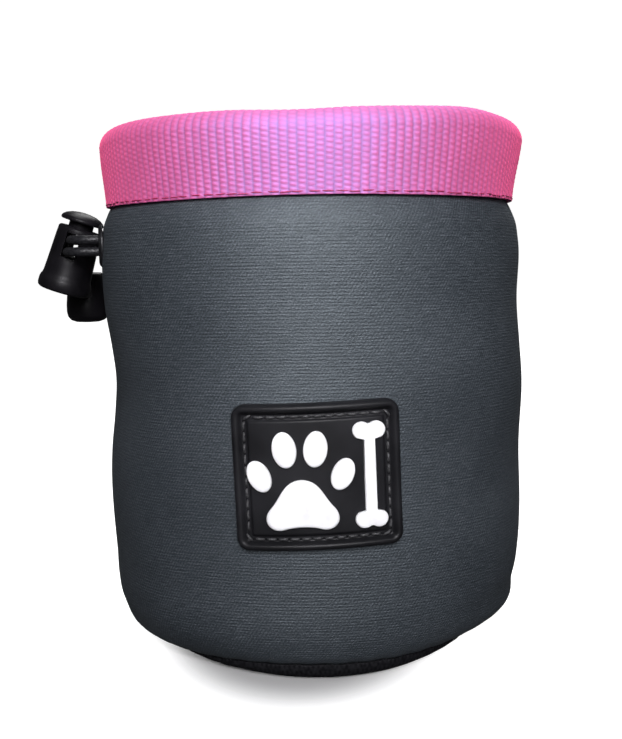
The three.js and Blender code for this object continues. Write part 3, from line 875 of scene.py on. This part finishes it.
def add_collar():
    """The drawstring sleeve, turned down inside: soft pleats, and a rolled hem round the cord."""
    cols, leg_rows, turn_rows, edge_rows = 420, 30, 16, 12
    top, turn_z, edge_z = 101, 82.3, 88.3
    leg_r, widest, sleeve_r, hem, thick = 37.75, 38.1, 37.9, 2.2, 0.55

    def face(angles, row, inset):
        pleat = np.sin(27 * angles + 0.8 * np.sin(5 * angles)) + 0.4 * np.sin(61 * angles)
        if row < leg_rows:
            z = between(top, turn_z, row / leg_rows)
            grow = math.sin(math.pi * row / leg_rows)
            wave = 0.34 * pleat * grow * (z < 99.5)
            return np.minimum(widest, leg_r + wave) - inset, z
        row -= leg_rows
        if row < turn_rows:
            turn = math.pi * row / turn_rows
            reach = hem - inset
            radius = sleeve_r - hem + reach * math.cos(turn)
            return radius + 0.1 * pleat * math.sin(turn), turn_z - reach * math.sin(turn)
        row -= turn_rows
        share = row / (edge_rows - 1)
        z = between(turn_z, edge_z, share)
        return sleeve_r - 2 * hem + inset + 0.2 * pleat * share, z + 0.15 * pleat

    total = leg_rows + turn_rows + edge_rows

    def radius_of(angles, row):
        if row < total:
            return face(angles, row, 0.0)
        return face(angles, 2 * total - 1 - row, thick)

    settle(revolve("collar_cloth", radius_of, 2 * total, cols), "lining", "collar")


# ---- front patch

PATCH_WIDE, PATCH_TALL = 30.0, 27.2
PATCH_MIDDLE = (0.5, 41.2)
PATCH_TURN = math.radians(1.9)
PATCH_CORNER = 2.4
PATCH_SECTION = [
    (0, -0.6), (0.05, 0.5), (0.2, 1.25), (0.5, 1.72), (0.85, 1.85), (1.25, 1.75), (1.6, 1.35),
    (1.85, 0.95), (2.4, 0.9), (2.9, 0.95), (3.15, 1.25), (3.5, 1.32),
]  # millimetres in from the edge, and out from the wall


def on_wall(a, b, out):
    """A point of the patch: a to the right and b up from its middle, out from the wall."""
    x = PATCH_MIDDLE[0] + a * math.cos(PATCH_TURN) - b * math.sin(PATCH_TURN)
    z = PATCH_MIDDLE[1] + a * math.sin(PATCH_TURN) + b * math.cos(PATCH_TURN)
    angle = FRONT + np.arcsin(x / WALL_R)
    return polar(angle, wall_radius(angle, z) + out, z)


def round_box(half_wide, half_tall, corner, steps):
    """Points round a rectangle with round corners, from its right side to the left over the top."""
    points = []
    for k, (sx, sy) in enumerate([(1, 1), (-1, 1), (-1, -1), (1, -1)]):
        for turn in np.linspace(k, k + 1, steps) * math.pi / 2:
            x = sx * (half_wide - corner) + corner * math.cos(turn)
            y = sy * (half_tall - corner) + corner * math.sin(turn)
            points.append((x, y))
    return points


def rounded_outline(inset, count=320):
    """Points at even spaces round the patch, inset from its edge."""
    corner = max(PATCH_CORNER - inset, 0.25)
    points = round_box(PATCH_WIDE / 2 - inset, PATCH_TALL / 2 - inset, corner, 9)
    points = np.array(points + points[:1])
    return at_lengths(points, np.linspace(0, run(points)[-1], count, endpoint=False))


def add_patch():
    rings = []
    last, face_out = PATCH_SECTION[-1][0] + 0.1, PATCH_SECTION[-1][1]
    insets = np.concatenate([np.linspace(0, 0.5, 8), np.linspace(0.6, last, 32)])
    for inset in insets:
        a, b = rounded_outline(inset).T
        rings.append(on_wall(a, b, curve_through(inset, PATCH_SECTION)))
    for share in (0.85, 0.65, 0.45, 0.25, 0.1):
        rings.append(on_wall(a * share, b * share, face_out))
    settle(grid("patch_moulding", np.array(rings), lid=True), "patch_rubber", "patch_base")


def add_patch_stitches():
    """Black thread round the patch, in the groove inside its rim."""
    groove, groove_out, count = 2.35, 1.0, 46
    outline = rounded_outline(groove, count)
    ahead = outline + unit(np.roll(outline, -1, 0) - np.roll(outline, 1, 0)) * 0.5
    centres = on_wall(*outline.T, groove_out)
    alongs = unit(on_wall(*ahead.T, groove_out) - centres)
    outs = unit(centres * (1, 1, 0))
    row = stitches("patch_stitches", centres, alongs, outs, 1.75, 0.26, 0.2)
    settle(row, "patch_rubber", finish="black_thread")


def bezier(start, *controls, steps=14):
    points = []
    for first, second, end in controls:
        p = [np.array(q, float) for q in (start, first, second, end)]
        for t in np.linspace(0, 1, steps, endpoint=False):
            weights = ((1 - t) ** 3, 3 * t * (1 - t) ** 2, 3 * t * t * (1 - t), t**3)
            points.append(sum(w * q for w, q in zip(weights, p)))
        start = end
    return np.array(points)


def ellipse(x, z, wide, tall, lean, count=56):
    turn = turns(count)
    u, v = wide / 2 * np.cos(turn), tall / 2 * np.sin(turn)
    c, s = math.cos(lean), math.sin(lean)
    return np.stack([x + u * c - v * s, z + u * s + v * c], 1)


def paw_pad(x, z):
    right = [((3.2, 4.3), (3.8, 1), (5.5, -0.8)), ((7.5, -3), (5.8, -5.5), (3.3, -4.8))]
    foot = [((1.5, -4.2), (-1.5, -4.2), (-3.3, -4.8))]
    left = [((-5.8, -5.5), (-7.5, -3), (-5.5, -0.8)), ((-3.8, 1), (-3.2, 4.3), (0, 4.3))]
    return bezier((0, 4.3), *(right + foot + left))[::-1] + (x, z)


def bone(x, half_tall, knob):
    """Round knobs, two at each end of a straight shaft."""
    out, shaft = knob * 0.8, 1.0
    points = [(shaft, -half_tall + knob), (shaft, 0), (shaft, half_tall - knob)]
    for cx, cz, start, end in (
        (out, half_tall, -0.3, 0.72), (-out, half_tall, 0.28, 1.3),
        (-out, -half_tall, 0.7, 1.72), (out, -half_tall, 1.28, 2.3),
    ):
        if cz < 0 and cx < 0:
            points += [(-shaft, half_tall - knob), (-shaft, 0), (-shaft, -half_tall + knob)]
        for turn in np.linspace(start, end, 16) * math.pi:
            points.append((cx + knob * math.cos(turn), cz + knob * math.sin(turn)))
    return np.array(points) + (x, 0)


def raised(name, outline, spine, node):
    """A raised white shape with a rounded edge. Its rings close in on the spine's nearest point."""
    low, high = spine
    middle = np.stack([0 * outline[:, 0] + low[0], np.clip(outline[:, 1], low[1], high[1])], 1)
    rings = []
    section = ((1, 1.0), (1, 1.75), (0.97, 1.95), (0.92, 2.05), (0.8, 2.1), (0.5, 2.1), (0.25, 2.1))
    for share, out in section:
        a, b = (middle + (outline - middle) * share).T
        rings.append(on_wall(a, b, out))
    settle(grid(name, np.array(rings), lid=True), "emblem_white", node)


def add_emblem():
    paw_x = -2.9
    raised("paw_pad", paw_pad(paw_x, -4.6), ((paw_x, -5.9), (paw_x, -4.1)), "emblem_pad")
    toes = [
        (-7.3, 0.5, 3.9, 6, 0.4), (-2.7, 5.3, 4.2, 6.6, 0.12),
        (2.7, 5.3, 4.2, 6.6, -0.12), (7.3, 0.5, 3.9, 6, -0.4),
    ]
    for i, (x, z, wide, tall, lean) in enumerate(toes):
        outline = ellipse(paw_x + x, z, wide, tall, lean)
        name = "paw_toe_" + str(i + 1)
        raised(name, outline, ((paw_x + x, z), (paw_x + x, z)), "emblem_toe_" + str(i + 1))
    raised("bone", bone(9.2, 8.2, 1.6), ((9.2, -7.6), (9.2, 7.6)), "emblem_bone")


# ---- eyelet and cord fittings


def facing(angle, z, radius=0.0):
    """A frame whose Z axis points outward at the angle."""
    turn = Matrix.Rotation(angle, 4, "Z") @ Matrix.Rotation(math.pi / 2, 4, "Y")
    return Matrix.Translation((0, 0, z)) @ turn @ Matrix.Translation((0, 0, radius))


def add_eyelet():
    flange = 45.3
    profile = [
        (3.1, 38.7), (3.1, flange), (4.6, flange), (4.55, flange + 0.35), (4.1, flange + 0.75),
        (3.5, flange + 0.9), (2.95, flange + 0.75), (2.7, flange + 0.3), (2.7, 38.7),
    ]
    ring = lathe("eyelet_ring", profile, facing(EYELET_ANGLE, EYELET_Z), bevel=0.1)
    settle(ring, "black_metal", "eyelet")
    back = [(4.6, 38.75), (4.6, 39.5), (3.4, 39.5), (3.4, 38.75)]
    washer = lathe("eyelet_backing", back, facing(EYELET_ANGLE, EYELET_Z), bevel=0.15)
    settle(washer, "black_metal", "eyelet_washer")


LOCK_TILT = math.radians(18)
LOCK_HOLE = Vector((-52.3, -0.2, 83.3))
HOLE_UP = 10.5
SLOT_HALF = 1.5
CORDS_LOW, CORDS_HIGH = HOLE_UP - 2.7, HOLE_UP + 2.7
PLUNGER_TRAVEL = 1.0
PLUNGER_FOOT = 4.8
BARREL_TOP = 14.5
lock_frame = (
    Matrix.Translation(LOCK_HOLE)
    @ Matrix.Rotation(LOCK_TILT, 4, "Y")
    @ Matrix.Translation((0, 0, -HOLE_UP))
)


def add_lock():
    barrel_profile = [
        (0, 0.35), (2.4, 0.3), (4.2, 0.0), (5.2, 0.05), (5.65, 0.4), (5.82, 1.0), (5.8, 2.2),
        (5.62, 2.85), (5.42, 3.2), (5.28, 3.9), (5.12, 6.2), (4.95, 9.5), (4.8, 12.4),
        (4.66, BARREL_TOP - 0.35), (4.35, BARREL_TOP), (3.2, BARREL_TOP), (3.0, BARREL_TOP - 0.3),
        (3.0, 1.6), (0, 1.5),
    ]
    barrel = lathe("lock_barrel", barrel_profile, lock_frame, 96, bevel=0)
    cut_box(barrel, (-SLOT_HALF, -10, CORDS_LOW), (SLOT_HALF, 10, CORDS_HIGH), lock_frame)
    soften(barrel, 0.22)
    settle(barrel, "black_plastic", "cord_lock_barrel", body="cord_lock")

    head = BARREL_TOP + PLUNGER_TRAVEL + 0.3
    plunger_profile = [
        (0, PLUNGER_FOOT), (2.5, PLUNGER_FOOT), (2.7, PLUNGER_FOOT + 0.2), (2.7, head), (4.4, head),
        (4.65, head + 0.18), (4.7, head + 0.5), (4.5, head + 0.95), (3.8, head + 1.5),
        (2.7, head + 1.95), (1.3, head + 2.22), (0, head + 2.3),
    ]
    plunger = lathe("lock_button", plunger_profile, lock_frame, 96, bevel=0)
    slot_top = CORDS_HIGH + PLUNGER_TRAVEL
    cut_box(plunger, (-SLOT_HALF, -10, CORDS_LOW), (SLOT_HALF, 10, slot_top), lock_frame)
    soften(plunger, 0.12)
    settle(plunger, "black_plastic", "cord_lock_plunger", body="lock_plunger")
    return barrel, plunger


def add_lock_spring():
    rounds, coil_r, wire_r, foot = 2, 2.2, 0.3, 1.75
    low, high = foot + wire_r, PLUNGER_FOOT - wire_r - 0.1
    share = np.linspace(0, 1, 120)
    line = placed(polar(share * rounds * TAU, coil_r, between(low, high, share)), lock_frame)
    wire = braided_cord("lock_coil", line, wire_r, sides=10, relief=0)
    settle(wire, "steel", "cord_lock_spring", body="cord_lock")
    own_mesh(wire)


def add_cord_end():
    foot = Matrix.Translation((-53, 12.4, END_LOW[2]))
    tall = END_HIGH[2] - END_LOW[2]
    profile = [
        (0, 0.1), (1.6, 0.05), (2.8, 0.15), (3.9, 0.55), (4.6, 1.4), (4.85, 2.6), (4.85, 4.2),
        (4.7, 6), (4.4, 8.2), (4.1, tall - 1.1), (3.8, tall - 0.3), (3.4, tall), (0, tall),
    ]
    bell = lathe("cord_end_bell", profile, foot, 96, bevel=0)
    half, deep = 1.25, 2.9  # the sockets that the tails end in
    for y in (1.6, -1.6):
        cut_box(bell, (-half, y - half, tall - deep), (half, y + half, tall + 1), foot)
    soften(bell, 0.18)
    settle(bell, "black_plastic", "cord_end")
    return bell


# ---- belt clip


def add_clip_pad():
    """A sewn reinforcing patch, bent round the back, with a turned edge and a row of stitches."""
    wide, tall = PAD_HIGH[0] - PAD_LOW[0], PAD_HIGH[2] - PAD_LOW[2]
    middle = (PAD_HIGH[2] + PAD_LOW[2]) / 2
    cols, rows = 60, 120
    a = np.linspace(-wide / 2, wide / 2, cols)
    b = np.linspace(-tall / 2, tall / 2, rows)
    grid_a, grid_b = np.meshgrid(a, b)
    inset = np.minimum(wide / 2 - np.abs(grid_a), tall / 2 - np.abs(grid_b))
    crown = 1.25 * (1 - np.exp(-inset / 0.5)) - 0.25 * np.exp(-(((inset - 2.4) / 0.5) ** 2))
    angle = BACK - np.arcsin(grid_a / WALL_R)
    points = polar(angle, wall_radius(angle, middle + grid_b) + 0.1 + crown, middle + grid_b)
    settle(grid("clip_pad_cloth", points, around=False, uv=(a, b)), "black_cloth", "clip_pad")

    count = 56
    edge = 2.4
    half_w, half_t = wide / 2 - edge, tall / 2 - edge
    corners = np.array([(-half_w, -half_t), (half_w, -half_t), (half_w, half_t), (-half_w, half_t)])
    loop = np.vstack([corners, corners[:1]])
    far = run(loop)
    at = (np.arange(count) + 0.5) / count * far[-1]
    x, z = at_lengths(loop, at).T
    side = np.searchsorted(far, at) - 1
    lean = np.diff(loop, axis=0)[side]
    angle = BACK - np.arcsin(x / WALL_R)
    centres = polar(angle, wall_radius(angle, middle + z) + 1.15, middle + z)
    alongs = np.where(
        np.abs(lean[:, :1]) > 1,
        np.stack([np.sin(angle), -np.cos(angle), 0 * angle], 1),
        np.array([[0.0, 0.0, 1.0]]),
    )
    outs = polar(angle, 1.0, 0.0)
    row = stitches("clip_pad_stitches", centres, alongs, outs, 2.1, 0.24, 0.12)
    settle(row, "black_cloth", finish="black_thread")


def add_clip():
    """A bent spring strip: flat legs, a round top and a turned-out lip."""
    thick, corner, slot, leg_end = 1.5, 0.45, 7.2, 38
    back_y = CLIP_LOW[1]
    low, top = CLIP_LOW[2], 80.0
    front_y = back_y + thick + slot
    reach = (front_y + thick - back_y) / 2 - thick / 2
    middle = back_y + thick / 2
    spine = [(middle, between(low, top, k / 20)) for k in range(21)]
    for k in range(1, 16):
        turn = math.pi - k / 16 * math.pi
        spine.append((middle + reach + reach * math.cos(turn), top + reach * math.sin(turn)))
    front = middle + 2 * reach
    spine += [(front, between(top, leg_end, k / 16)) for k in range(17)]
    spine += [(front + 0.15, 36.8), (front + 0.5, 35.5), (front + 1.0, 34.2), (front + 1.5, 33)]
    spine = np.array(spine)
    along = unit(np.gradient(spine, axis=0))
    normal = np.stack([along[:, 1], -along[:, 0]], 1)
    section = round_box((CLIP_HIGH[0] - CLIP_LOW[0]) / 2, thick / 2, corner, 5)
    points = np.array([
        [(x, y + n * ny, z + n * nz) for x, n in section]
        for (y, z), (ny, nz) in zip(spine, normal)
    ])
    far = run(spine)
    across = np.arange(len(section) + 1) * 1.0
    strip = grid("belt_clip_strip", points, uv=(across, far), foot=True, lid=True)
    settle(strip, "black_metal", "belt_clip")

    for place, z in (("lower", 38.0), ("upper", 68.0)):
        head = back_y + thick + 0.05
        frame_here = facing(BACK, z)
        rivet_profile = [
            (0, 37.8), (2.0, 37.85), (2.4, 38.2), (2.2, 38.5), (1.6, 38.6), (1.6, head), (3.2, head),
            (3.15, head + 0.3), (2.6, head + 0.75), (1.5, head + 1.0), (0, head + 1.1),
        ]
        rivet = lathe("rivet_" + place, rivet_profile, frame_here, 64, bevel=0)
        settle(rivet, "steel", "clip_rivet_" + place)
        washer_profile = [(4.2, 38.75), (4.2, 39.5), (1.9, 39.5), (1.9, 38.75)]
        washer = lathe("washer_" + place, washer_profile, frame_here, 64, bevel=0.15)
        settle(washer, "steel", "rivet_washer_" + place)


# ---- sheets


def declare_sheets():
    """The size that each cloth was cut to. The longer side goes round the pouch."""
    around = TAU * WALL_R * MM
    sheets = [
        ("pouch_wall", (0.098, around), "stretched", ["base_panel_cloth"], [], None),
        ("rim_webbing", (0.028, around), "folded", ["pouch_wall"], ["rim_stitches"], None),
        ("base_panel_cloth", (0.085, 0.085), "stretched", ["pouch_wall"], [], 0.00567),
        ("lining_wall_cloth", (0.099, 0.254), "hung", ["pouch_wall", "rim_webbing"], [], None),
        ("lining_floor_cloth", (0.076, 0.076), "laid", ["base_panel_cloth"], [], 0.00454),
        ("seam_tape_cloth", (0.011, 0.246), "folded", ["pouch_wall"], [], None),
        ("collar_cloth", (0.032, 0.250), "gathered", ["rim_webbing"], [], None),
        ("clip_pad_cloth", (0.028, 0.062), "laid", ["pouch_wall"], ["clip_pad_stitches"], None),
    ]
    for name, flat, held, rests_on, with_pieces, area in sheets:
        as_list(rests_on)
        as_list(with_pieces)


# ---- studio


def add_floor():
    """A plain paper bowl, metres wide, flat under the pouch. It glows white by itself, except in a soft
    oval in front of the base, which is a painted shadow.
    """
    flat, bend, high, sides = 2200, 700, 2600, 64
    section = [(radius, 0) for radius in (20, 300, 800, flat)]
    for turn in np.linspace(0, math.pi / 2, 16)[1:]:
        section.append((flat + bend * math.sin(turn), bend * (1 - math.cos(turn))))
    section.append((flat + bend, high))
    points = np.array([polar(turns(sides), radius, z) for radius, z in section])
    floor = grid("floor", points, foot=True)
    f = Finish("floor", 0.9, Specular_IOR_Level=0.1)
    f.shader.inputs["Base Color"].default_value = (0.55, 0.55, 0.54, 1)
    f.shader.inputs["Emission Color"].default_value = (1, 1, 1, 1)
    # The painted shadow is an oval that shows in front of the base, a little to its left: there the
    # floor's glow fades out.
    painted_shadow_middle = (-0.005, -0.008, 0)
    place = f.solid(1.45, 1, 1)
    far = f.add("VectorMath", {0: place, 1: painted_shadow_middle}, operation="DISTANCE").outputs["Value"]
    ease = {"Value": far, "From Min": 0.032, "From Max": 0.050, "To Min": 0.0, "To Max": 1.0}
    glow_outside_painted_shadow = f.add("MapRange", ease, interpolation_type="SMOOTHSTEP").outputs[0]
    f.tree.links.new(glow_outside_painted_shadow, f.shader.inputs["Emission Strength"])
    floor.data.materials.append(f.material)
    # The pouch's sides stay dark and its plastics have no white glare, as between black cards.
    floor.visible_diffuse = False
    floor.visible_glossy = False


def add_light(name, place, aim, size, power, colour=(1, 1, 1), spread=180):
    data = bpy.data.lights.new(name, "AREA")
    data.spread = math.radians(spread)
    data.shape = "RECTANGLE"
    data.size, data.size_y = size
    data.energy = power
    data.color = colour
    lamp = show(bpy.data.objects.new(name, data))
    lamp.location = place
    lamp.rotation_euler = (Vector(aim) - Vector(place)).to_track_quat("-Z", "Y").to_euler()


def add_studio():
    world = bpy.data.worlds.new("studio")
    world.use_nodes = True
    tree = world.node_tree
    background = tree.nodes["Background"]
    background.inputs["Color"].default_value = (0.96, 0.97, 1.0, 1)
    background.inputs["Strength"].default_value = 0.055
    bpy.context.scene.world = world
    middle = (0, 0, 0.06)
    cool = (0.97, 0.96, 1.0)
    high = (0, 0, 0.10)
    add_light("front_box", (0.05, -0.60, 0.34), high, (0.30, 0.40), 0.67, cool, spread=60)
    add_light("near_box", (-0.012, -0.30, 0.24), high, (0.12, 0.10), 0.092, cool, spread=50)
    add_light("top_box", (0.05, 0.30, 0.85), middle, (0.5, 0.5), 3.4)
    add_light("back_box", (0.15, 0.60, 0.66), middle, (0.6, 0.4), 3.4)
    bpy.context.scene.view_settings.view_transform = "Standard"


# ---- assembly

add_camera()
lock_pieces = list(add_lock())
lock_pieces.append(add_cord_end())
add_tails()
add_ring_cord()
add_lock_spring()
add_wall()
add_base()
add_rim()
add_rim_stitches()
add_lining()
add_seam_tape()
add_collar()
add_patch()
add_patch_stitches()
add_emblem()
add_eyelet()
add_clip_pad()
add_clip()
declare_sheets()
add_floor()
add_studio()
